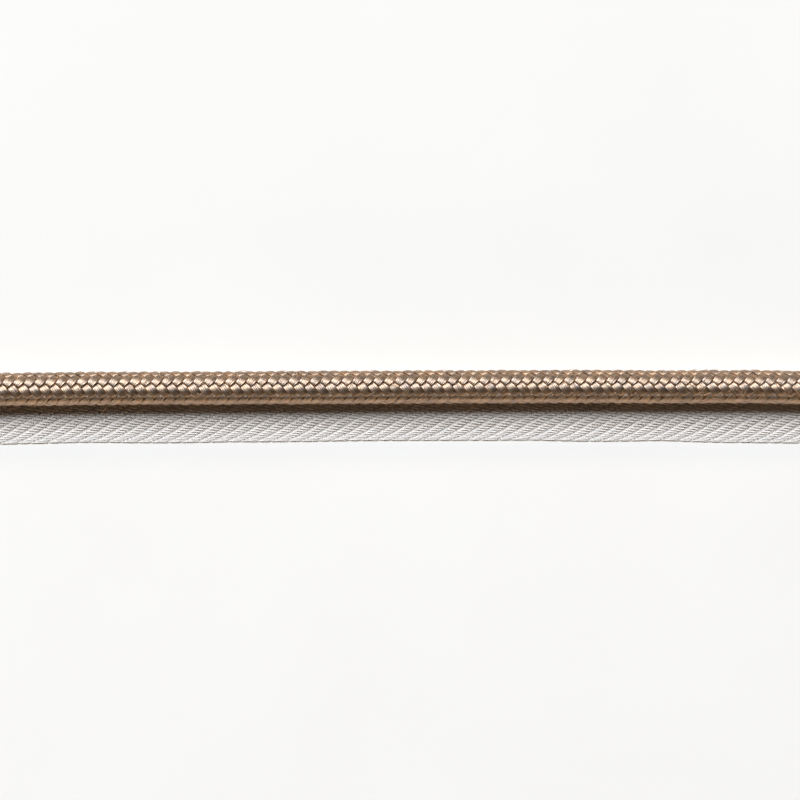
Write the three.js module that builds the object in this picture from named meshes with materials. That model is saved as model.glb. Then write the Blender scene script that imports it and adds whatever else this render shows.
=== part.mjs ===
// Silk lip cord: a straight cut length of round braided cord, lying along the flat woven tape (the lip) that it is
// sewn to. Millimetres. +X runs along the cord, +Y is the cord's side, -Y the lip's free edge, +Z is up. The tape's
// underside is at Z = 0, and the origin is the middle of the piece on the surface it lies on.

import * as THREE from "three";

// Driving dimensions of the trimming.
const LENGTH = 130; // cut length of cord and tape
const CORD_DIAMETER = 5; // over the crowns of the stitches
const TAPE_THICKNESS = 1;
const TAPE_BEHIND = 1.9; // from the cord's centreline to the tape's rear edge, which the cord hides
const CLEARANCE = 0.3; // between the tape and the cord lying on it

// The braid: 16 ends worked two over, two under, so the cord shows 8 lengthwise rows of slanted stitches.
const ROWS = 8;
const STEPS_PER_ROW = 2; // one step ends on a row's valley, the other on its crown
const STITCH_PITCH = 1.564; // from one stitch to the next, along the cord
const ROW_START = 12; // degrees behind the top of the cord, where one row meets the next
const STITCH_DEPTH = 0.42; // crown of a stitch to the groove between two stitches
const ROW_DEPTH = 0.3; // crown of a row to the valley between two rows
const END_DEPTH = 0.15; // how far the bound-down cut ends draw in

// How the piece lies: evenly spaced stations along X, each with the Y of the cord's centreline and of the lip's
// free edge. The cord wanders by half a millimetre, and the edge a little more.
const STATIONS = [
  { cord: 2.6, edge: -5.6 },
  { cord: 2.67, edge: -5.49 },
  { cord: 2.74, edge: -5.33 },
  { cord: 2.81, edge: -5.21 },
  { cord: 2.84, edge: -5.29 },
  { cord: 2.87, edge: -5.27 },
  { cord: 2.88, edge: -5.15 },
  { cord: 2.92, edge: -5.14 },
  { cord: 2.95, edge: -5.06 },
  { cord: 2.98, edge: -4.98 },
  { cord: 3.0, edge: -4.93 },
  { cord: 3.04, edge: -4.93 },
  { cord: 3.07, edge: -4.92 },
  { cord: 3.09, edge: -4.89 },
  { cord: 3.1, edge: -5.03 },
  { cord: 3.08, edge: -5.05 },
  { cord: 3.04, edge: -4.96 },
  { cord: 3.07, edge: -5.17 },
  { cord: 3.06, edge: -5.26 },
  { cord: 2.95, edge: -5.33 },
  { cord: 2.86, edge: -5.45 },
];

const CORD_RADIUS = CORD_DIAMETER / 2;
const CORD_HEIGHT = TAPE_THICKNESS + CLEARANCE + CORD_RADIUS;
const SIDES = ROWS * STEPS_PER_ROW;
const COLUMN_PITCH = STITCH_PITCH / 2; // a crown column and a groove column for each stitch
const STEPS_PER_STATION = 4; // of the tape's outline
const OUTLINE_STEPS = STEPS_PER_STATION * (STATIONS.length - 1);

const FINISHES = {
  silk: { color: 0xc4a482, roughness: 0.42, metalness: 0 },
  tape: { color: 0xcfcbc7, roughness: 0.9, metalness: 0 },
};

// A smooth line through one column of the stations, as its Y at a share from 0 to 1 of the length.
function stationLine(column) {
  const spacing = LENGTH / (STATIONS.length - 1);
  const points = STATIONS.map(
    (station, i) =>
      new THREE.Vector2(i * spacing - LENGTH / 2, station[column]),
  );
  const line = new THREE.SplineCurve(points);
  return (share) => line.getPoint(share).y;
}

const cordLine = stationLine("cord");
const edgeLine = stationLine("edge");

function named(name, geometry, finish) {
  geometry.computeVertexNormals();
  const mesh = new THREE.Mesh(
    geometry,
    new THREE.MeshStandardMaterial(FINISHES[finish]),
  );
  mesh.name = name;
  return mesh;
}

// How far along X the stitches have slanted at one side of the cord. Neighbouring rows slant opposite ways, and each
// row slants by one whole stitch, so this is a zigzag that closes round the cord.
function slantAt(side) {
  const row = side / STEPS_PER_ROW;
  const alongRow = row % 2;
  return STITCH_PITCH * (alongRow < 1 ? alongRow : 2 - alongRow);
}

// The cord's radius at a side and a column: high on a stitch's crown, low in the groove between two stitches, and
// lowest in the valleys between the rows.
function stitchRadius(side, column) {
  if (side % STEPS_PER_ROW === 0) return CORD_RADIUS - ROW_DEPTH;
  return CORD_RADIUS - (column % 2 ? STITCH_DEPTH : 0);
}

// A closed skin of rings. The first and last ring are flat cut ends, and the ones between are slanted columns of
// stitch crowns and grooves, as many as fit with a margin of at least half a column pitch at each end.
function braidedCord() {
  const room = LENGTH - STITCH_PITCH;
  const steps = Math.floor(room / COLUMN_PITCH) - 1;
  const margin = (room - steps * COLUMN_PITCH) / 2;
  const lastRing = steps + 2;
  const positions = [];

  function addPoint(x, radius, angle) {
    const y = cordLine(x / LENGTH + 0.5) + radius * Math.sin(angle);
    positions.push(x, y, CORD_HEIGHT + radius * Math.cos(angle));
  }

  for (let ring = 0; ring <= lastRing; ring++) {
    const isEnd = ring === 0 || ring === lastRing;
    const endX = ring === 0 ? -LENGTH / 2 : LENGTH / 2;
    const columnX = margin - LENGTH / 2 + (ring - 1) * COLUMN_PITCH;
    for (let side = 0; side < SIDES; side++) {
      const angle = THREE.MathUtils.degToRad(ROW_START + (360 * side) / SIDES);
      if (isEnd) addPoint(endX, CORD_RADIUS - END_DEPTH, angle);
      else
        addPoint(columnX + slantAt(side), stitchRadius(side, ring), angle);
    }
  }
  addPoint(-LENGTH / 2, 0, 0);
  addPoint(LENGTH / 2, 0, 0);

  const indices = [];
  const startCentre = (lastRing + 1) * SIDES;
  const endCentre = startCentre + 1;
  const lastRow = lastRing * SIDES;
  for (let side = 0; side < SIDES; side++) {
    const next = (side + 1) % SIDES;
    for (let ring = 0; ring < lastRing; ring++) {
      const here = ring * SIDES;
      const there = here + SIDES;
      indices.push(here + side, there + side, there + next);
      indices.push(here + side, there + next, here + next);
    }
    indices.push(startCentre, side, next);
    indices.push(endCentre, lastRow + next, lastRow + side);
  }

  const geometry = new THREE.BufferGeometry();
  geometry.setAttribute(
    "position",
    new THREE.Float32BufferAttribute(positions, 3),
  );
  geometry.setIndex(indices);
  return named("braided_cord", geometry, "silk");
}

// A flat tape: its free edge as it lies, and its rear edge beside the cord's centreline, under the cord.
function lipTape() {
  const outline = new THREE.Shape();
  for (let step = 0; step <= OUTLINE_STEPS; step++) {
    const share = step / OUTLINE_STEPS;
    const x = (share - 0.5) * LENGTH;
    if (step === 0) outline.moveTo(x, edgeLine(share));
    else outline.lineTo(x, edgeLine(share));
  }
  for (let step = OUTLINE_STEPS; step >= 0; step--) {
    const share = step / OUTLINE_STEPS;
    outline.lineTo((share - 0.5) * LENGTH, cordLine(share) + TAPE_BEHIND);
  }
  const geometry = new THREE.ExtrudeGeometry(outline, {
    depth: TAPE_THICKNESS,
    bevelEnabled: false,
  });
  return named("lip_tape", geometry, "tape");
}

const lipCord = new THREE.Group();
lipCord.add(lipTape(), braidedCord());

export default lipCord;
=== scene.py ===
"""Dresses a silk lip cord: the braid's sixteen silk ends, the twill tape's own yarns and their sewing.

Everything is in metres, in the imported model's frame: +X along the cord, +Y from the lip's free edge towards
the cord, +Z up from the surface that the tape lies on. Each piece is worked out as whole arrays on a grid of
two parameters, one along a yarn and one round it.
"""

from __future__ import annotations

import logging
import math
from dataclasses import dataclass
from enum import Enum

import bpy
import numpy as np
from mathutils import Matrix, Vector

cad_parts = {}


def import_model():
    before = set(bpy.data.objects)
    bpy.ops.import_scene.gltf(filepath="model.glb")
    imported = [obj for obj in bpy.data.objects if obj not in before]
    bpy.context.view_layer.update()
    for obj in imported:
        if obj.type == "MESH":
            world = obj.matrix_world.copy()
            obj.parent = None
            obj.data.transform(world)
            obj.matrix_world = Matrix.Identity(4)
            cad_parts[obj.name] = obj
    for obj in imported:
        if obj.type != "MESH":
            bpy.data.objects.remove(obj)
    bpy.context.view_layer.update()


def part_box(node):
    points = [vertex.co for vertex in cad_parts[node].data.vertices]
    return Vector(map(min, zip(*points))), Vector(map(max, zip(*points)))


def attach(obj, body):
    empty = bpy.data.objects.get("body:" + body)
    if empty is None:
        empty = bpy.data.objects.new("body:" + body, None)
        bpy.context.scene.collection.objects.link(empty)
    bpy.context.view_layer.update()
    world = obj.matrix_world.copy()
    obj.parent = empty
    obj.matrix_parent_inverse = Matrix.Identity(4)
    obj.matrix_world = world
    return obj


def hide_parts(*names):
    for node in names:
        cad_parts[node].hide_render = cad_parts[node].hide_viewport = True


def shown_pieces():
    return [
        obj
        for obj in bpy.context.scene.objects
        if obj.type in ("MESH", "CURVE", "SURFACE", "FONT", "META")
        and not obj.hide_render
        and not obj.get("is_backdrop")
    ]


LOG = logging.getLogger("lip_cord")

MM = 0.001
CORD_NODE = "braided_cord"
TAPE_NODE = "lip_tape"
CORD_SLOT = "silk_braid"
TAPE_SLOT = "woven_tape"
BODY = "root"

# The photograph's frame and scale, in pixels, from the cord's diameter in it.
PHOTO_SIDE = 800
CORD_PIXELS = 33.7
CORD_DIAMETER = 5 * MM
ROW_OF_ORIGIN = 407.45

# The dressed cord is a little fuller than its solid, and it settles on the tape, which the solid clears.
DRESSED_RADIUS = 2.53 * MM
SETTLE = 0.55 * MM

# How the piece lies, at evenly spaced stations along X, in millimetres: the Y of the cord's centreline and of
# the lip's free edge.
CORD_STATIONS = np.array(
    [2.6, 2.67, 2.74, 2.81, 2.84, 2.87, 2.88, 2.92, 2.95, 2.98, 3.0]
    + [3.04, 3.07, 3.09, 3.1, 3.08, 3.04, 3.07, 3.06, 2.95, 2.86]
)
EDGE_STATIONS = np.array(
    [-5.6, -5.49, -5.33, -5.21, -5.29, -5.27, -5.15, -5.14, -5.06, -4.98, -4.93]
    + [-4.93, -4.92, -4.89, -5.03, -5.05, -4.96, -5.17, -5.26, -5.33, -5.45]
)


def smooth_line(stations: np.ndarray, share: np.ndarray) -> np.ndarray:
    """Reads a smooth line through evenly spaced stations.

    Between two stations the line is the cubic that passes through both, with the slope at each that joins its
    two neighbours.

    Args:
        stations: The line's values at the stations.
        share: Where to read it, from 0 at the first station to 1 at the last.

    Returns:
        The line's values, in the stations' unit and in the shape of share.
    """
    spans = len(stations) - 1
    place = np.clip(share, 0, 1) * spans
    index = np.minimum(place.astype(int), spans - 1)
    t = place - index
    here, there = stations[index], stations[index + 1]
    leaving = (there - stations[np.maximum(index - 1, 0)]) / 2
    arriving = (stations[np.minimum(index + 2, spans)] - here) / 2
    cubic = 2 * here - 2 * there + leaving + arriving
    square = 3 * there - 3 * here - 2 * leaving - arriving
    return ((cubic * t + square) * t + leaving) * t + here


def between(start: float, stop: float, share: np.ndarray) -> np.ndarray:
    """The values that lie evenly from start, at a share of 0, to stop, at a share of 1."""
    return start + (stop - start) * share


@dataclass(frozen=True)
class Lay:
    """How the length of trimming lies on its surface, in metres."""

    length: float
    cord_radius: float
    cord_height: float
    tape_behind: float = 1.9 * MM

    def share(self, x: np.ndarray) -> np.ndarray:
        """The share of the length at each x."""
        return x / self.length + 0.5

    def cord_y(self, x: np.ndarray) -> np.ndarray:
        """The Y of the cord's centreline at each x."""
        return smooth_line(CORD_STATIONS * MM, self.share(x))

    def rear_y(self, x: np.ndarray) -> np.ndarray:
        """The Y of the tape's rear edge at each x, beside the centreline and under the cord."""
        return self.cord_y(x) + self.tape_behind

    def edge_y(self, x: np.ndarray) -> np.ndarray:
        """The Y of the lip's free edge at each x."""
        return smooth_line(EDGE_STATIONS * MM, self.share(x))


def wander(rng: np.random.Generator, rows: int, steps: int, knots: int) -> np.ndarray:
    """Draws slow random lines between -1 and 1.

    Each row has random values at evenly spaced knots, joined by cosine arcs.

    Args:
        rng: The source of random numbers.
        rows: How many lines to draw.
        steps: How many points each line has.
        knots: How many random values each line passes through.

    Returns:
        An array of rows by steps.
    """
    values = rng.uniform(-1, 1, (rows, knots))
    place = np.linspace(0, knots - 1, steps)
    index = np.minimum(place.astype(int), knots - 2)
    blend = (1 - np.cos(np.pi * (place - index))) / 2
    return values[:, index] * (1 - blend) + values[:, index + 1] * blend


def closed_tubes(
    name: str, points: np.ndarray, uv: np.ndarray, tone: np.ndarray
) -> bpy.types.Object:
    """Makes one mesh of closed tubes, each a grid of rings with a flat cap at both ends.

    Args:
        name: The piece's name.
        points: Ring points, as tube by ring by point round the ring by 3.
        uv: The first parameter across the yarn and the second along it, as tube by ring by point plus one
            by 2. The extra point is where the ring closes.
        tone: The shade of each ring point, from 0 to 1, as tube by ring by point.

    Returns:
        The new object, with a UV map named yarn and a point attribute named tone.
    """
    tubes, rings, around, _ = points.shape
    order = np.arange(tubes * rings * around).reshape(tubes, rings, around)
    ahead = np.roll(order, -1, axis=2)
    quads = np.stack(
        [order[:, :-1], order[:, 1:], ahead[:, 1:], ahead[:, :-1]], axis=-1
    )
    side = points[:, 1:] - points[:, :-1]
    turn = np.roll(points, -1, axis=2)[:, :-1] - points[:, :-1]
    outward = points[:, :-1] - points[:, :-1].mean(axis=2, keepdims=True)
    faces_in = (np.cross(side, turn) * outward).sum() < 0
    near_caps, far_caps = order[:, 0], order[:, -1, ::-1]
    if faces_in:
        quads = quads[..., ::-1]
        near_caps, far_caps = near_caps[:, ::-1], far_caps[:, ::-1]

    quad_uv = np.stack(
        [uv[:, :-1, :-1], uv[:, 1:, :-1], uv[:, 1:, 1:], uv[:, :-1, 1:]], axis=-2
    )
    if faces_in:
        quad_uv = quad_uv[..., ::-1, :]
    cap_uv = np.concatenate([uv[:, :1, :-1], uv[:, -1:, :-1]], axis=1)
    corners = np.concatenate([quads.ravel(), near_caps.ravel(), far_caps.ravel()])
    starts = np.concatenate(
        [np.arange(quads.size // 4) * 4, quads.size + np.arange(2 * tubes) * around]
    )
    smooth = np.arange(len(starts)) < quads.size // 4

    mesh = bpy.data.meshes.new(name)
    mesh.vertices.add(order.size)
    mesh.vertices.foreach_set("co", points.astype(np.float32).ravel())
    mesh.loops.add(len(corners))
    mesh.loops.foreach_set("vertex_index", corners.astype(np.int32))
    mesh.polygons.add(len(starts))
    mesh.polygons.foreach_set("loop_start", starts.astype(np.int32))
    mesh.polygons.foreach_set("use_smooth", smooth)
    mesh.update(calc_edges=True)
    layer = mesh.uv_layers.new(name="yarn")
    layer.data.foreach_set(
        "uv", np.concatenate([quad_uv.ravel(), cap_uv.ravel()]).astype(np.float32)
    )
    shade = mesh.attributes.new("tone", "FLOAT", "POINT")
    shade.data.foreach_set("value", tone.astype(np.float32).ravel())
    mesh.validate()
    piece = bpy.data.objects.new(name, mesh)
    bpy.context.scene.collection.objects.link(piece)
    return piece


def swept_tubes(
    name: str,
    paths: np.ndarray,
    across: np.ndarray,
    half_width: np.ndarray | float,
    half_height: np.ndarray | float,
    sides: int,
    tone: np.ndarray,
) -> bpy.types.Object:
    """Makes yarns that follow paths, each ring an ellipse square to its path.

    A ring's width lies along the path's direction crossed with the direction across, and its height along the
    direction square to both.

    Args:
        name: The piece's name.
        paths: Path points, as yarn by step by 3.
        across: A direction that no path runs along.
        half_width: Half of each ring's width, as one number or yarn by step.
        half_height: Half of each ring's height, as one number or yarn by step.
        sides: Points round each ring.
        tone: The shade of each yarn, from 0 to 1.

    Returns:
        The new object.
    """
    ahead = np.gradient(paths, axis=1)
    ahead /= np.linalg.norm(ahead, axis=-1, keepdims=True)
    wide = np.cross(ahead, across)
    wide /= np.linalg.norm(wide, axis=-1, keepdims=True)
    high = np.cross(wide, ahead)
    turn = np.linspace(0, 2 * np.pi, sides, endpoint=False)
    shape = paths.shape[:2]
    width = np.broadcast_to(half_width, shape)[..., None, None]
    height = np.broadcast_to(half_height, shape)[..., None, None]
    points = (
        paths[:, :, None]
        + wide[:, :, None] * width * np.cos(turn)[:, None]
        + high[:, :, None] * height * np.sin(turn)[:, None]
    )
    return closed_tubes(name, points, yarn_uv(paths, sides), ring_tone(tone, points))


def yarn_uv(paths: np.ndarray, sides: int) -> np.ndarray:
    """The UV map of round yarns: the turn round a yarn from 0 to 1, and the millimetres along it."""
    steps = np.linalg.norm(np.diff(paths, axis=1), axis=-1)
    along = np.concatenate([np.zeros((len(paths), 1)), steps.cumsum(axis=1)], axis=1)
    turn = np.linspace(0, 1, sides + 1)
    shape = (*paths.shape[:2], sides + 1)
    return np.stack(
        [
            np.broadcast_to(turn, shape),
            np.broadcast_to(along[..., None] / MM, shape),
        ],
        axis=-1,
    )


def ring_tone(tone: np.ndarray, points: np.ndarray) -> np.ndarray:
    """One shade for each tube, spread over its ring points."""
    return np.broadcast_to(tone[:, None, None], points.shape[:3])


UPWARDS = np.array([0.0, 0.0, 1.0])


class Slant(Enum):
    """Which way an end of the braid runs round the cord as it goes along +X."""

    REARWARDS = 1
    FORWARDS = -1


@dataclass(frozen=True)
class Braid:
    """The cord: sixteen flat silk ends, eight each way, worked two over and two under round a core.

    Each end is a ribbon of yarns laid side by side. Its crossings fall on sixteen lines along the cord, so
    its floats make eight lengthwise rows, slanting one way and the other by turns.
    """

    lay: Lay
    ends_each_way: int = 8
    yarns: int = 5
    stitch_pitch: float = 1.564 * MM
    first_tip_x: float = -53.7 * MM
    row_start: float = math.radians(12)
    rows: int = 8
    end_width: float = 1.31 * MM
    end_thickness: float = 0.5 * MM
    over_under: float = 0.36 * MM
    squareness: float = 6.0
    overlap: float = 0.04
    bend: float = 0.62
    crown_lead: float = math.radians(4)
    swell: float = 0.25
    flatness: float = 3.2
    shoulders: tuple[float, float] = (0.27, 0.73)
    hollow: tuple[float, float] = (0.5, 0.62)
    fullness: float = 0.08
    looseness: float = 0.04 * MM
    yarn_tone: float = 0.3
    tone_drift: float = 0.12
    yarn_depth: float = 0.13 * MM
    core_radius: float = 1.8 * MM
    core_recess: float = 0.2 * MM
    core_sides: int = 32
    rings_per_stitch: int = 10
    least_ring_gap: float = 0.03 * MM
    crowding: float = 0.75
    square_end: float = 1.2 * MM
    ends_per_piece: int = 4
    seed: int = 41

    @property
    def lead(self) -> float:
        """The length in which an end goes once round the cord."""
        return self.ends_each_way * self.stitch_pitch

    @property
    def middle_radius(self) -> float:
        """The radius at which an end lies midway between over and under."""
        return self.lay.cord_radius - self.over_under - self.end_thickness / 2

    @property
    def slope(self) -> float:
        """The angle between an end and the cord's own direction."""
        return math.atan2(2 * math.pi * self.lay.cord_radius, self.lead)

    def section(self) -> tuple[np.ndarray, np.ndarray, np.ndarray]:
        """An end's outline: yarn crowns and valleys on top, under an arch, and a plain hollow below.

        Returns:
            For each outline point, its place across the end from -1 to 1, its height in metres above the
            end's middle, and the number of its yarn.
        """
        yarn_points = (np.arange(self.yarns)[:, None] + [0.0, *self.shoulders]).ravel()
        top = np.append(yarn_points, self.yarns)
        across = top / self.yarns * 2 - 1
        arch = self.end_thickness / 2 * (1 - np.abs(across) ** self.flatness) ** 0.5
        is_valley = top == np.round(top)
        height = arch - np.where(is_valley, self.yarn_depth, 0)
        below = np.array([0.5, 0.0, -0.5])
        side, deepest = self.hollow
        sag = -self.end_thickness / 2 * np.array([side, deepest, side])
        yarn = np.minimum(top.astype(int), self.yarns - 1)
        middle = np.full(len(below), self.yarns // 2)
        return (
            np.append(across, below),
            np.append(height, sag),
            np.append(yarn, middle),
        )

    def ring_places(self, first: float) -> np.ndarray:
        """Where an end's rings cross its middle, along X.

        They are closer together at each dive, which comes once a stitch, and the first and last are at the
        cut ends.

        Args:
            first: The X of one of the dives.

        Returns:
            The X of each ring.
        """
        half = self.lay.length / 2
        stitches = math.ceil(self.lay.length / self.stitch_pitch) + 1
        turns = np.linspace(-stitches, stitches, 2 * stitches * self.rings_per_stitch)
        crowded = turns - self.crowding / (2 * np.pi) * np.sin(2 * np.pi * turns)
        places = first + self.stitch_pitch * crowded
        inside = np.abs(places) < half - self.least_ring_gap
        return np.concatenate([[-half], places[inside], [half]])

    def ends(self, slant: Slant) -> tuple[np.ndarray, np.ndarray, np.ndarray]:
        """Works out all the ends of one slant.

        The angle round the cord grows evenly along X, less a small sine of eight times itself, which bends
        the ends into slight S curves. The height over the core is a mix of two waves. One is a cosine of four
        times the angle, which arches each float and has its crown a few degrees from the float's middle. The
        other is that cosine without the few degrees, raised a little and squared off by a hyperbolic tangent,
        which lets the end dive. A ring point reads them at its foot, where the line through the point,
        parallel to the crossing ends, meets its own end's middle. So an end dives along the edge of the one
        that crosses it. Rings lie along those lines too, and turn square to the cord at its cut ends.

        Args:
            slant: Which way the ends run.

        Returns:
            Points, UV and tone, as closed_tubes takes them.
        """
        rng = np.random.default_rng(self.seed + slant.value)
        half = self.lay.length / 2
        first = self.first_tip_x + (0 if slant is Slant.REARWARDS else 0.5) * self.stitch_pitch
        middle_x = self.ring_places(first)
        steps = len(middle_x)
        across, height, yarn = self.section()
        count = self.ends_each_way
        knots = int(self.lay.length / self.stitch_pitch)

        fullness = 1 + self.fullness * wander(rng, count, steps, knots)[..., None]
        offset = across * fullness * self.end_width / 2
        lean = slant.value * offset / (2 * math.sin(self.slope))
        room = np.clip((half - np.abs(middle_x)) / self.square_end, 0, 1)
        x = middle_x[:, None] - lean * (room * room * (3 - 2 * room))[:, None]
        foot = x + lean
        place = foot - first - (np.arange(count) * self.stitch_pitch)[:, None, None]
        foot_angle = self.row_start + slant.value * 2 * np.pi * place / self.lead
        angle = foot_angle + offset / (2 * math.cos(self.slope) * self.lay.cord_radius)
        angle = angle - self.swell * np.sin(self.rows * (angle - self.row_start)) / self.rows
        row_middle = self.row_start + slant.value * np.pi / self.rows
        half_turns = self.rows / 2 * (foot_angle - row_middle)
        wave = np.cos(half_turns)
        arch = np.cos(half_turns + self.rows / 2 * self.crown_lead)
        dive = np.tanh(self.squareness * (wave + self.overlap))
        rise = self.bend * arch + (1 - self.bend) * dive
        loose = self.looseness * wander(rng, count, steps, knots)[..., None]
        radius = self.middle_radius + self.over_under * rise + height + loose
        points = np.stack(
            [
                x,
                self.lay.cord_y(x) + radius * np.sin(angle),
                self.lay.cord_height + radius * np.cos(angle),
            ],
            axis=-1,
        )

        along = foot / math.cos(self.slope) - slant.value * offset / math.tan(2 * self.slope)
        u = np.append(np.linspace(0, 1, len(across) - 2), [0.75, 0.5])
        uv = np.stack(
            [
                np.broadcast_to(u, along.shape),
                np.broadcast_to(along / MM, along.shape),
            ],
            axis=-1,
        )
        uv = np.concatenate([uv, uv[:, :, :1]], axis=2)
        own = rng.uniform(-self.yarn_tone, self.yarn_tone, (count, 1, self.yarns))[:, :, yarn]
        drift = self.tone_drift * wander(rng, count, steps, knots)[..., None]
        tone = np.clip(0.5 + own + drift, 0, 1)
        return points, uv, tone

    def build(self, silk: Finish, core: Finish) -> list[bpy.types.Object]:
        """Makes the core and the ends, in pieces of a few ends each.

        Args:
            silk: The ends' finish.
            core: The core's finish.

        Returns:
            The core first, then the pieces of ends.
        """
        made = [self.core(core)]
        for slant in Slant:
            points, uv, tone = self.ends(slant)
            for start in range(0, self.ends_each_way, self.ends_per_piece):
                part = slice(start, start + self.ends_per_piece)
                number = start // self.ends_per_piece + 1
                name = f"silk_ends_{slant.name.lower()}_{number}"
                piece = closed_tubes(name, points[part], uv[part], tone[part])
                silk.dress(piece)
                made.append(piece)
        return made

    def core(self, finish: Finish) -> bpy.types.Object:
        """The core: a round bundle of spun yarn inside the ends."""
        half = self.lay.length / 2 - self.core_recess
        x = np.linspace(-half, half, 2 * len(CORD_STATIONS))
        path = np.stack(
            [x, self.lay.cord_y(x), np.full_like(x, self.lay.cord_height)], axis=-1
        )
        piece = swept_tubes(
            "cord_core",
            path[None],
            UPWARDS,
            self.core_radius,
            self.core_radius,
            self.core_sides,
            np.array([0.5]),
        )
        finish.dress(piece)
        return piece


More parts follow.
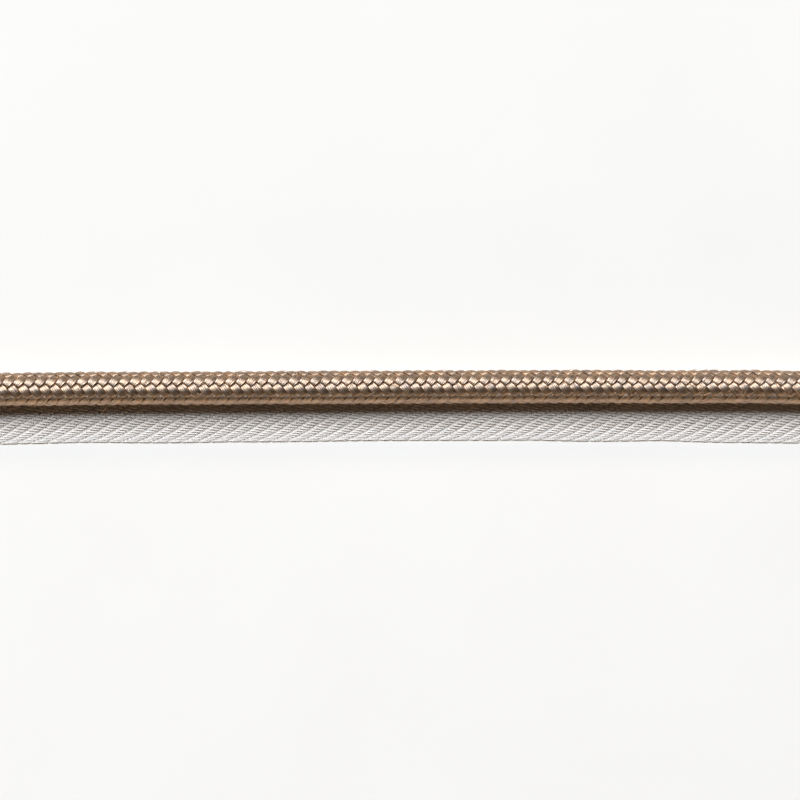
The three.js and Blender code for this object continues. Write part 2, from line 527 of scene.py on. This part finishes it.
@dataclass(frozen=True)
class LipTape:
    """The lip: a narrow twill tape, its lengthwise yarns over two cross yarns and under one.

    Places across the tape are measured from its rear edge. The lengthwise yarns are packed closer towards the
    free edge, and the cross yarns slant more there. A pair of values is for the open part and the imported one.
    The lengthwise yarns' half sizes are shares of the room that each has, and the cross yarns' are metres.
    """

    lay: Lay
    width: float = 10 * MM
    pick_pitch: float = 0.748 * MM
    open_pitch: float = 0.33 * MM
    close_pitch: float = 0.193 * MM
    open_rows: int = 23
    close_rows: int = 9
    steady_width: float = 5.7 * MM
    rear_slant: float = 0.35
    edge_slant: float = 1.05
    open_thickness: float = 0.72 * MM
    edge_thickness: float = 0.25 * MM
    sunk: float = 0.14 * MM
    lift: float = 0.02 * MM
    squareness: float = 3.0
    raised: float = 0.38
    packed_raise: float = 0.1
    notch: float = 0.1 * MM
    float_slant: float = 0.06 * MM
    half_widths: tuple[float, float] = (0.34, 0.47)
    half_heights: tuple[float, float] = (0.45, 0.3)
    unevenness: float = 0.06
    sway: float = 0.015 * MM
    yarn_tone: float = 0.1
    pick_half_widths: tuple[float, float] = (0.19 * MM, 0.15 * MM)
    pick_room: tuple[float, float] = (0.15 * MM, 0.07 * MM)
    pick_swing: tuple[float, float] = (0.12, 0.62)
    pick_taper: float = 0.05 * MM
    pick_flatness: float = 0.55
    # The cross yarns are toned a little darker than the lengthwise ones: painted shade in the gaps where they
    # show. The spread below is random tone.
    shaded_pick_tone: float = 0.4
    pick_tone_spread: float = 0.12
    loop_depth: float = 0.06 * MM
    loop_rows: float = 0.9
    cut_margin: float = 0.2 * MM
    readings_per_row: int = 60
    ground_inset: float = 0.3 * MM
    ground_half_thickness: float = 0.03 * MM
    ground_grid: tuple[int, int] = (131, 8)
    # The ground sheet's tone: painted shade that darkens the gaps between the yarns.
    gap_shade_tone: float = 0.05
    sides: int = 6
    steps_per_pick: int = 4
    seed: int = 17

    def row_pitches(self) -> np.ndarray:
        """The room that each lengthwise yarn takes, easing from the open pitch to the close one."""
        index = np.arange(self.open_rows + self.close_rows)
        ease = np.clip((index - self.open_rows) / (self.close_rows - 1), 0, 1)
        ease = ease * ease * (3 - 2 * ease)
        return between(self.open_pitch, self.close_pitch, ease)

    def row_places(self) -> np.ndarray:
        """The middle of each lengthwise yarn, from the rear edge."""
        pitches = self.row_pitches()
        return pitches.cumsum() - pitches / 2

    def slant_shift(self, across: np.ndarray) -> np.ndarray:
        """How far along X a cross yarn has moved at a place across: a straight slant, then a parabola."""
        bend = np.clip(across - self.steady_width, 0, None)
        growth = (self.edge_slant - self.rear_slant) / (self.width - self.steady_width)
        return self.rear_slant * across + growth * bend**2 / 2

    def thickness(self, across: np.ndarray) -> np.ndarray:
        """The tape's thickness at a place across, less where the yarns are packed finer."""
        start = self.open_rows * self.open_pitch
        ease = np.clip((across - start) / (self.width - start), 0, 1)
        return between(self.open_thickness, self.edge_thickness, ease)

    def weave(self, phase: np.ndarray, closeness: np.ndarray) -> np.ndarray:
        """The lengthwise yarns' height in the weave, from -1 to 1: over two cross yarns, then under one.

        It is a squared-off cosine with a period of three cross yarns, raised so that it stays up for two of
        them, and raised more where the yarns are packed closer, which makes the dips there shorter.
        """
        raised = self.raised + self.packed_raise * closeness
        wave = np.cos(2 * np.pi * (phase - 0.5) / 3) + raised
        return np.tanh(self.squareness * wave) / np.tanh(self.squareness * (1 + raised))

    def y_at(self, x: np.ndarray, across: np.ndarray) -> np.ndarray:
        """The Y of a place across the tape at x, with the tape's width taken up evenly."""
        rear, edge = self.lay.rear_y(x), self.lay.edge_y(x)
        return rear + (edge - rear) * across / self.width

    def long_yarns(self) -> tuple[np.ndarray, np.ndarray, np.ndarray]:
        """Works out the lengthwise yarns, each ring in a plane across the tape.

        Besides its weave, a float dips between two cross yarns, by the cube of a raised cosine, and slants
        across the tape, by a sine of its place in the weave. Both fade out where the yarns are packed.

        Returns:
            Points, UV and tone, as closed_tubes takes them.
        """
        rng = np.random.default_rng(self.seed)
        half = self.lay.length / 2
        picks = self.lay.length / self.pick_pitch
        steps = int(picks * self.steps_per_pick)
        x = np.linspace(-half, half, steps)
        places, pitches = self.row_places(), self.row_pitches()
        rows = len(places)
        phase = (x - self.slant_shift(places)[:, None]) / self.pick_pitch
        phase = phase + np.arange(rows)[:, None]
        thick = self.thickness(places)
        closeness = (pitches[0] - pitches) / (pitches[0] - pitches[-1])
        half_height = (pitches * between(*self.half_heights, closeness))[:, None]
        swing = thick[:, None] / 2 - half_height
        level = self.lift + thick[:, None] / 2 + swing * self.weave(phase, closeness[:, None])
        openness = (1 - closeness)[:, None]
        level = level - self.notch * openness * (0.5 - 0.5 * np.cos(2 * np.pi * phase)) ** 3
        uneven = 1 + self.unevenness * wander(rng, rows, steps, int(picks))
        half_width = (pitches * between(*self.half_widths, closeness))[:, None] * uneven
        sway = self.sway * wander(rng, rows, steps, int(picks / 3))
        turn = np.linspace(0, 2 * np.pi, self.sides, endpoint=False)
        slanted = self.float_slant * openness * np.sin(2 * np.pi * (phase - 0.5) / 3)
        y = self.y_at(x, places[:, None]) + sway - slanted
        points = np.stack(
            [
                np.broadcast_to(x[:, None], (rows, steps, self.sides)),
                y[..., None] + half_width[..., None] * np.cos(turn),
                level[..., None] + (half_height * uneven)[..., None] * np.sin(turn),
            ],
            axis=-1,
        )
        middle = np.stack([np.broadcast_to(x, y.shape), y, level], axis=-1)
        own = rng.uniform(-self.yarn_tone, self.yarn_tone, (rows, 1))
        tone = np.clip(0.5 + own + self.yarn_tone * wander(rng, rows, steps, int(picks)), 0, 1)
        return (
            points,
            yarn_uv(middle, self.sides),
            np.broadcast_to(tone[..., None], points.shape[:3]),
        )

    def cross_yarns(self) -> tuple[np.ndarray, np.ndarray]:
        """Works out the cross yarns' middles, one for each pick.

        Each runs from selvedge to selvedge, opposite to the lengthwise yarns in the weave, and bends half of
        the way round the outermost yarn, where it meets its neighbour. Where the tape is cut, it stops at the
        cut.

        Returns:
            The paths, as yarn by step by 3, and the half width at each step.
        """
        half = self.lay.length / 2
        places = self.row_places()
        rows = len(places)
        reach = self.slant_shift(np.array([self.width]))[0]
        first = math.ceil((-half - reach) / self.pick_pitch)
        last = math.floor(half / self.pick_pitch)
        picks = np.arange(first, last + 1)
        row_index = np.arange(rows)
        start_x = picks * self.pick_pitch
        fine = np.linspace(-self.loop_rows, rows - 1 + self.loop_rows, self.readings_per_row * rows)
        fine_x = start_x[:, None] + self.slant_shift(np.interp(fine, row_index, places))
        inside = np.abs(fine_x) < half - self.cut_margin
        kept = inside.sum(axis=1) > 2 * self.readings_per_row
        picks, start_x, inside = picks[kept], start_x[kept], inside[kept]
        low = fine[inside.argmax(axis=1)]
        high = fine[len(fine) - 1 - inside[:, ::-1].argmax(axis=1)]
        share = np.linspace(0, 1, 2 * rows + 5)
        index = low[:, None] + (high - low)[:, None] * share
        on_rows = np.clip(index, 0, rows - 1)
        place = np.interp(on_rows, row_index, places)
        beyond = index - on_rows
        around = np.clip(np.abs(beyond) / self.loop_rows, 0, 1)
        outward = np.where(beyond < 0, -1, 1)
        place = place + outward * self.loop_depth * np.sin(around * np.pi / 2)
        way = outward * np.where(picks % 2 == 0, 1, -1)[:, None]
        x = start_x[:, None] + self.slant_shift(place)
        x = x + way * self.pick_pitch / 2 * (1 - np.cos(around * np.pi / 2))
        thick = self.thickness(place)
        fineness = (self.open_thickness - thick) / (self.open_thickness - self.edge_thickness)
        swing = (thick / 2 - between(*self.pick_room, fineness)) * between(*self.pick_swing, fineness)
        middle = self.lift + thick / 2 - self.sunk * (1 - fineness)
        weave = self.weave(picks[:, None] + on_rows, fineness)
        level = middle - swing * weave * (1 - around)
        paths = np.stack([x, self.y_at(x, place), level], axis=-1)
        return paths, between(*self.pick_half_widths, fineness) - self.pick_taper * around

    def build(self, cotton: Finish) -> list[bpy.types.Object]:
        """Makes the ground sheet, the lengthwise yarns in two pieces, and the cross yarns."""
        points, uv, tone = self.long_yarns()
        middle = len(points) // 2
        paths, half_width = self.cross_yarns()
        rng = np.random.default_rng(self.seed + 1)
        spread = self.pick_tone_spread
        # The cross yarns' tones: darker on average as painted shade in the gaps, with random spread.
        shades = self.shaded_pick_tone + rng.uniform(-spread, spread, len(paths))
        made = [
            self.ground(),
            closed_tubes("tape_yarns_rear", points[:middle], uv[:middle], tone[:middle]),
            closed_tubes("tape_yarns_front", points[middle:], uv[middle:], tone[middle:]),
            swept_tubes(
                "tape_picks",
                paths,
                UPWARDS,
                half_width,
                self.pick_flatness * half_width,
                self.sides,
                shades,
            ),
        ]
        for piece in made:
            cotton.dress(piece)
        return made

    def ground(self) -> bpy.types.Object:
        """The tape's ground: a thin closed sheet inside the weave, which no light comes through. Its tone is
        near the dark end of the cotton, as painted shade in the gaps between the yarns.
        """
        steps, columns = self.ground_grid
        x = np.linspace(-self.lay.length / 2, self.lay.length / 2, steps)
        across = np.linspace(self.ground_inset, self.width - self.ground_inset, columns)
        round_trip = np.concatenate([across, across[::-1]])
        face = np.repeat([1.0, -1.0], len(across))
        grid_x = np.broadcast_to(x[:, None], (len(x), len(round_trip)))
        y = self.y_at(grid_x, round_trip)
        thick = self.thickness(round_trip)
        middle = self.lift + thick / 2 - self.sunk * thick / self.open_thickness
        z = middle + face * self.ground_half_thickness
        points = np.stack([grid_x, y, np.broadcast_to(z, grid_x.shape)], axis=-1)[None]
        place = np.append(round_trip, across[0]) / self.width
        uv = np.stack(
            [
                np.broadcast_to(place, (len(x), len(place))),
                np.broadcast_to(x[:, None] / MM, (len(x), len(place))),
            ],
            axis=-1,
        )[None]
        # A low tone all over the sheet: painted shade in the gaps of the weave.
        tone = np.full(points.shape[:3], self.gap_shade_tone)
        return closed_tubes("tape_gap_shade_sheet", points, uv, tone)


@dataclass(frozen=True)
class LooseFibres:
    """Single silk filaments that have sprung out of the braid.

    Most are short bows over the stitches, and two longer ones lean out over the lip.
    """

    braid: Braid
    count: int = 520
    shortest: float = 0.8 * MM
    longest: float = 2.4 * MM
    highest: float = 0.16 * MM
    sunk: float = 0.07 * MM
    fibre_radius: float = 0.027 * MM
    steps: int = 9
    sides: int = 4
    headings: tuple[float, float] = (math.radians(30), math.radians(65))
    curl: float = 0.5
    least_bow: float = 0.3
    leaning_x: tuple[float, ...] = (-44.6 * MM, 9.9 * MM)
    leaning_reach: float = 1.5 * MM
    leaning_root: float = 0.2 * MM
    leaning_below: float = 0.4 * MM
    leaning_drop: float = 1.3 * MM
    off_every_path: tuple[float, float, float] = (0.28, 0.41, 0.87)
    tone: float = 0.9
    seed: int = 7

    def bows(self) -> np.ndarray:
        """Works out the bows: each a shallow arc on the cord's skin that rises over its middle as a cosine.

        Returns:
            The paths, as fibre by step by 3.
        """
        rng = np.random.default_rng(self.seed)
        lay = self.braid.lay
        share = np.linspace(-0.5, 0.5, self.steps)

        def draw(low: float, high: float) -> np.ndarray:
            """One random number for each fibre, as a column."""
            return rng.uniform(low, high, (self.count, 1))

        length = draw(self.shortest, self.longest)
        side = np.where(draw(0, 1) < 0.5, -1, 1)
        heading = side * draw(*self.headings) + draw(-self.curl, self.curl) * share
        room = lay.length / 2 - self.longest
        x = draw(-room, room) + length * share * np.cos(heading)
        around = length * share * np.sin(heading)
        angle = draw(-math.pi, math.pi) + around / lay.cord_radius
        bow = draw(self.least_bow, 1) * self.highest * np.cos(np.pi * share)
        radius = lay.cord_radius - self.sunk + bow
        return np.stack(
            [
                x,
                lay.cord_y(x) + radius * np.sin(angle),
                lay.cord_height + radius * np.cos(angle),
            ],
            axis=-1,
        )

    def leaning(self) -> np.ndarray:
        """Works out the fibres that lean out: each leaves the cord's flank and droops as a parabola.

        Returns:
            The paths, as fibre by step by 3.
        """
        lay = self.braid.lay
        share = np.linspace(0, 1, self.steps)
        x = np.array(self.leaning_x)[:, None] - self.leaning_reach * (share - 1)
        root = lay.cord_radius - self.leaning_root
        y = lay.cord_y(x) - root - self.leaning_reach * share
        drop = np.broadcast_to(self.leaning_drop * share**2, x.shape)
        return np.stack([x, y, lay.cord_height - self.leaning_below - drop], axis=-1)

    def build(self, silk: Finish) -> bpy.types.Object:
        """Makes all the loose fibres as one piece."""
        paths = np.concatenate([self.bows(), self.leaning()])
        piece = swept_tubes(
            "loose_fibres",
            paths,
            np.array(self.off_every_path),
            self.fibre_radius,
            self.fibre_radius,
            self.sides,
            np.full(len(paths), self.tone),
        )
        silk.dress(piece)
        return piece


@dataclass(frozen=True)
class Sewing:
    """The thread that holds the tape on the cord: a row of stitches under the cord's middle.

    Each stitch lies along the tape's underside and goes up at both ends, through the tape and into the braid.
    """

    tape: LipTape
    stitch: float = 2.3 * MM
    pitch: float = 3.4 * MM
    uneven_along: float = 0.1 * MM
    uneven_across: float = 0.05 * MM
    half_width: float = 0.09 * MM
    half_height: float = 0.045 * MM
    top: float = 1.2 * MM
    clearance: float = 0.004 * MM
    corner_power: int = 6
    steps: int = 24
    sides: int = 6
    seed: int = 23

    def paths(self) -> np.ndarray:
        """Works out the stitches.

        Seen from the side a stitch is the lower half of a squared-off ellipse: its width to the sixth power
        and its depth to the sixth power add up to one.

        Returns:
            The paths, as stitch by step by 3.
        """
        rng = np.random.default_rng(self.seed)
        lay = self.tape.lay
        count = int((lay.length - self.stitch) / self.pitch)
        middle = (np.arange(count) - (count - 1) / 2) * self.pitch
        middle = middle + rng.uniform(-self.uneven_along, self.uneven_along, count)
        turn = np.linspace(0, np.pi, self.steps)
        squaring = 2 / self.corner_power
        wide = np.sign(np.cos(turn)) * np.abs(np.cos(turn)) ** squaring
        deep = np.sin(turn) ** squaring
        x = middle[:, None] - self.stitch / 2 * wide
        low = self.half_height + self.clearance
        z = self.top - (self.top - low) * deep
        y = lay.cord_y(x) + rng.uniform(-self.uneven_across, self.uneven_across, (count, 1))
        return np.stack([x, y, np.broadcast_to(z, x.shape)], axis=-1)

    def build(self, cotton: Finish) -> bpy.types.Object:
        """Makes all the stitches as one piece."""
        paths = self.paths()
        piece = swept_tubes(
            "seam_thread",
            paths,
            np.array([0.0, 1.0, 0.0]),
            self.half_height,
            self.half_width,
            self.sides,
            np.full(len(paths), 0.5),
        )
        cotton.dress(piece)
        return piece


COAT_ROUGHNESS = 0.36
COAT_IOR = 2.7
FIBRE_RELIEF = 0.035 * MM


@dataclass(frozen=True)
class Finish:
    """A yarn's finish: its colours, gloss and the fine lines of its fibres."""

    name: str
    slot: str
    dark: tuple[float, float, float]
    light: tuple[float, float, float]
    edge: tuple[float, float, float]
    metallic: float
    roughness: tuple[float, float]
    anisotropy: float
    coat: float
    sheen: float
    across_scale: float
    along_scale: float
    bump: float

    def material(self) -> bpy.types.Material:
        """Builds the material once, and gives the same one after that."""
        known = bpy.data.materials.get(self.name)
        if known:
            return known
        made = bpy.data.materials.new(self.name)
        made.use_nodes = True
        nodes, links = made.node_tree.nodes, made.node_tree.links
        shader = nodes["Principled BSDF"]
        uv = nodes.new("ShaderNodeUVMap")
        uv.uv_map = "yarn"
        tone = nodes.new("ShaderNodeAttribute")
        tone.attribute_name = "tone"
        fibres = nodes.new("ShaderNodeGroup")
        fibres.node_tree = fibre_group()
        fibres.inputs["Across scale"].default_value = self.across_scale
        fibres.inputs["Along scale"].default_value = self.along_scale
        links.new(uv.outputs["UV"], fibres.inputs["UV"])
        links.new(tone.outputs["Fac"], fibres.inputs["Tone"])
        colour = nodes.new("ShaderNodeMix")
        colour.data_type = "RGBA"
        colour.inputs["A"].default_value = (*self.dark, 1)
        colour.inputs["B"].default_value = (*self.light, 1)
        links.new(fibres.outputs["Shade"], colour.inputs["Factor"])
        links.new(colour.outputs["Result"], shader.inputs["Base Color"])
        gloss = nodes.new("ShaderNodeMapRange")
        gloss.inputs["To Min"].default_value = self.roughness[0]
        gloss.inputs["To Max"].default_value = self.roughness[1]
        links.new(fibres.outputs["Grain"], gloss.inputs["Value"])
        links.new(gloss.outputs["Result"], shader.inputs["Roughness"])
        bump = nodes.new("ShaderNodeBump")
        bump.inputs["Strength"].default_value = self.bump
        bump.inputs["Distance"].default_value = FIBRE_RELIEF
        links.new(fibres.outputs["Grain"], bump.inputs["Height"])
        links.new(bump.outputs["Normal"], shader.inputs["Normal"])
        shader.inputs["Metallic"].default_value = self.metallic
        shader.inputs["Sheen Weight"].default_value = self.sheen
        shader.inputs["Anisotropic"].default_value = self.anisotropy
        shader.inputs["Specular Tint"].default_value = (*self.edge, 1)
        shader.inputs["Coat Weight"].default_value = self.coat
        shader.inputs["Coat Roughness"].default_value = COAT_ROUGHNESS
        shader.inputs["Coat IOR"].default_value = COAT_IOR
        if self.anisotropy:
            tangent = nodes.new("ShaderNodeTangent")
            tangent.direction_type = "UV_MAP"
            tangent.uv_map = "yarn"
            links.new(tangent.outputs["Tangent"], shader.inputs["Tangent"])
        return made

    def dress(self, piece: bpy.types.Object) -> None:
        """Gives a piece this finish, and fixes it to the part's body."""
        piece.data.materials.clear()
        piece.data.materials.append(self.material())
        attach(piece, BODY)


def fibre_group() -> bpy.types.ShaderNodeTree:
    """The fine lines of fibres along a yarn, as a node group.

    A noise is drawn out along the yarn's UV map. Grain is that noise, and Shade is the yarn's own tone with
    part of the grain added.
    """
    known = bpy.data.node_groups.get("fibre_lines")
    if known:
        return known
    group = bpy.data.node_groups.new("fibre_lines", "ShaderNodeTree")
    face = group.interface
    face.new_socket("UV", in_out="INPUT", socket_type="NodeSocketVector")
    for name, value in {
        "Tone": 0.5,
        "Across scale": 20.0,
        "Along scale": 1.0,
        "Contrast": 0.5,
    }.items():
        socket = face.new_socket(name, in_out="INPUT", socket_type="NodeSocketFloat")
        socket.default_value = value
    face.new_socket("Grain", in_out="OUTPUT", socket_type="NodeSocketFloat")
    face.new_socket("Shade", in_out="OUTPUT", socket_type="NodeSocketFloat")
    nodes, links = group.nodes, group.links
    given, result = nodes.new("NodeGroupInput"), nodes.new("NodeGroupOutput")
    scale = nodes.new("ShaderNodeCombineXYZ")
    links.new(given.outputs["Across scale"], scale.inputs["X"])
    links.new(given.outputs["Along scale"], scale.inputs["Y"])
    stretched = nodes.new("ShaderNodeVectorMath")
    stretched.operation = "MULTIPLY"
    links.new(given.outputs["UV"], stretched.inputs[0])
    links.new(scale.outputs["Vector"], stretched.inputs[1])
    noise = nodes.new("ShaderNodeTexNoise")
    noise.noise_dimensions = "2D"
    noise.inputs["Scale"].default_value = 1.0
    noise.inputs["Detail"].default_value = 3.0
    links.new(stretched.outputs["Vector"], noise.inputs["Vector"])
    centred = nodes.new("ShaderNodeMath")
    centred.operation = "SUBTRACT"
    centred.inputs[1].default_value = 0.5
    links.new(noise.outputs["Fac"], centred.inputs[0])
    shade = nodes.new("ShaderNodeMath")
    shade.operation = "MULTIPLY_ADD"
    shade.use_clamp = True
    links.new(centred.outputs["Value"], shade.inputs[0])
    links.new(given.outputs["Contrast"], shade.inputs[1])
    links.new(given.outputs["Tone"], shade.inputs[2])
    links.new(noise.outputs["Fac"], result.inputs["Grain"])
    links.new(shade.outputs["Value"], result.inputs["Shade"])
    return group


SILK = Finish(
    name="champagne_silk",
    slot=CORD_SLOT,
    dark=(0.145, 0.066, 0.018),
    light=(0.585, 0.32, 0.125),
    edge=(0.8, 0.5, 0.25),
    metallic=0.9,
    roughness=(0.38, 0.52),
    anisotropy=0.8,
    coat=0.86,
    sheen=0.0,
    across_scale=9.0,
    along_scale=0.8,
    bump=0.8,
)
CORE_YARN = Finish(
    name="core_yarn",
    slot=CORD_SLOT,
    dark=(0.16, 0.1, 0.06),
    light=(0.34, 0.24, 0.16),
    edge=(1.0, 1.0, 1.0),
    metallic=0.0,
    roughness=(0.8, 0.95),
    anisotropy=0.0,
    coat=0.0,
    sheen=0.1,
    across_scale=60.0,
    along_scale=1.5,
    bump=0.6,
)
COTTON = Finish(
    name="grey_white_cotton",
    slot=TAPE_SLOT,
    dark=(0.76, 0.695, 0.63),
    light=(0.97, 0.895, 0.825),
    edge=(1.0, 1.0, 1.0),
    metallic=0.0,
    roughness=(0.75, 0.95),
    anisotropy=0.0,
    coat=0.0,
    sheen=0.2,
    across_scale=8.0,
    along_scale=6.0,
    bump=0.5,
)


COOL_LIGHT = (0.91, 1.0, 1.11)
WARM_LIGHT = (1.22, 0.92, 0.58)


@dataclass(frozen=True)
class SoftBox:
    """A long even light parallel to the cord.

    It fills the room between two angles from the zenith, in degrees, behind the piece or, below zero, before
    it.
    """

    name: str
    highest: float
    lowest: float
    radiance: float
    colour: tuple[float, float, float] = WARM_LIGHT
    distance: float = 4.0
    length: float = 9.3
    aside: float = 0.0

    def build(self) -> None:
        """Makes the light, facing the origin."""
        middle = math.radians((self.highest + self.lowest) / 2)
        spread = math.radians(abs(self.lowest - self.highest))
        data = bpy.data.lights.new(self.name, "AREA")
        data.color = self.colour
        data.shape = "RECTANGLE"
        data.size = self.length
        data.size_y = 2 * self.distance * math.tan(spread / 2)
        data.energy = self.radiance * math.pi * data.size * data.size_y
        light = bpy.data.objects.new(self.name, data)
        light.location = (
            self.aside,
            self.distance * math.sin(middle),
            self.distance * math.cos(middle),
        )
        light.rotation_euler = (-middle, 0, 0)
        bpy.context.scene.collection.objects.link(light)


@dataclass(frozen=True)
class Studio:
    """A pale floor under one wide soft light behind the piece, seen from straight above.

    Two warm strips fill in: a low one behind, and a card that stands before the piece.
    """

    view_width: float
    view_centre_y: float
    subject_height: float
    lens: float = 120.0
    boxes: tuple[SoftBox, ...] = (
        SoftBox("key_box", 20, 47, radiance=9.0, colour=COOL_LIGHT, length=6.1, aside=-2.0),
        SoftBox("low_box", 58, 64.5, radiance=2.0),
        SoftBox("front_card", -76, -89.5, radiance=1.65),
    )
    sensor_width: float = 36.0
    nearest: float = 0.01
    farthest: float = 10.0
    fill: float = 0.007
    floor_side: float = 8.0
    floor_dark: tuple[float, float, float] = (0.895, 0.83, 0.752)
    floor_light: tuple[float, float, float] = (0.935, 0.87, 0.792)
    floor_roughness: float = 0.9
    floor_gloss: float = 0.2
    mottle_scale: float = 30.0

    def camera(self) -> None:
        """A long lens straight above, with +Y up in the picture."""
        data = bpy.data.cameras.new("camera")
        data.lens = self.lens
        data.sensor_width = self.sensor_width
        distance = self.view_width * self.lens / data.sensor_width
        data.clip_start, data.clip_end = self.nearest, self.farthest
        camera = bpy.data.objects.new("camera", data)
        camera.location = (0, self.view_centre_y, self.subject_height + distance)
        bpy.context.scene.collection.objects.link(camera)
        bpy.context.scene.camera = camera

    def surroundings(self) -> None:
        """A dim room, and a pale backdrop where the camera looks past the floor."""
        world = bpy.data.worlds.new("room")
        world.use_nodes = True
        nodes, links = world.node_tree.nodes, world.node_tree.links
        room = nodes["Background"]
        room.inputs["Color"].default_value = (1.0, 1.0, 1.0, 1)
        path = nodes.new("ShaderNodeLightPath")
        strength = nodes.new("ShaderNodeMapRange")
        strength.inputs["To Min"].default_value = self.fill
        strength.inputs["To Max"].default_value = 1.0
        links.new(path.outputs["Is Camera Ray"], strength.inputs["Value"])
        links.new(strength.outputs["Result"], room.inputs["Strength"])
        bpy.context.scene.world = world

    def floor(self) -> None:
        """A matt white floor with a faint mottle."""
        half = self.floor_side / 2
        mesh = bpy.data.meshes.new("floor")
        mesh.from_pydata(
            [(-half, -half, 0), (half, -half, 0), (half, half, 0), (-half, half, 0)],
            [],
            [(0, 1, 2, 3)],
        )
        floor = bpy.data.objects.new("floor", mesh)
        bpy.context.scene.collection.objects.link(floor)
        made = bpy.data.materials.new("white_floor")
        made.use_nodes = True
        nodes, links = made.node_tree.nodes, made.node_tree.links
        shader = nodes["Principled BSDF"]
        shader.inputs["Roughness"].default_value = self.floor_roughness
        shader.inputs["Specular IOR Level"].default_value = self.floor_gloss
        place = nodes.new("ShaderNodeTexCoord")
        noise = nodes.new("ShaderNodeTexNoise")
        noise.inputs["Scale"].default_value = self.mottle_scale
        links.new(place.outputs["Object"], noise.inputs["Vector"])
        colour = nodes.new("ShaderNodeMix")
        colour.data_type = "RGBA"
        colour.inputs["A"].default_value = (*self.floor_dark, 1)
        colour.inputs["B"].default_value = (*self.floor_light, 1)
        links.new(noise.outputs["Fac"], colour.inputs["Factor"])
        links.new(colour.outputs["Result"], shader.inputs["Base Color"])
        mesh.materials.append(made)
        floor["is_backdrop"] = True

    def build(self) -> None:
        """Sets up the camera, the lights, the room and the floor, and plain display colours."""
        self.camera()
        for box in self.boxes:
            box.build()
        self.surroundings()
        self.floor()
        bpy.context.scene.view_settings.view_transform = "Standard"


def main() -> None:
    logging.basicConfig(level=logging.INFO, format="%(name)s: %(message)s")
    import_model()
    cord_low, cord_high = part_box(CORD_NODE)
    length = cord_high[0] - cord_low[0]
    lay = Lay(
        length=length,
        cord_radius=DRESSED_RADIUS,
        cord_height=(cord_low[2] + cord_high[2]) / 2 - SETTLE,
    )
    pixel = CORD_DIAMETER / CORD_PIXELS
    studio = Studio(
        view_width=PHOTO_SIDE * pixel,
        view_centre_y=(ROW_OF_ORIGIN - PHOTO_SIDE / 2) * pixel,
        subject_height=lay.cord_height,
    )
    studio.build()

    braid = Braid(lay)
    core, *ends = braid.build(SILK, CORE_YARN)
    for piece in (core, *ends):
        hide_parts(CORD_NODE)
    fibres = LooseFibres(braid).build(SILK)

    tape = LipTape(lay)
    ground, *yarns = tape.build(COTTON)
    thread = Sewing(tape).build(COTTON)
    for piece in (ground, *yarns):
        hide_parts(TAPE_NODE)

    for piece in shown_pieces():
        piece.data.calc_loop_triangles()
        LOG.info("%s: %d triangles", piece.name, len(piece.data.loop_triangles))


if __name__ == "__main__":
    main()
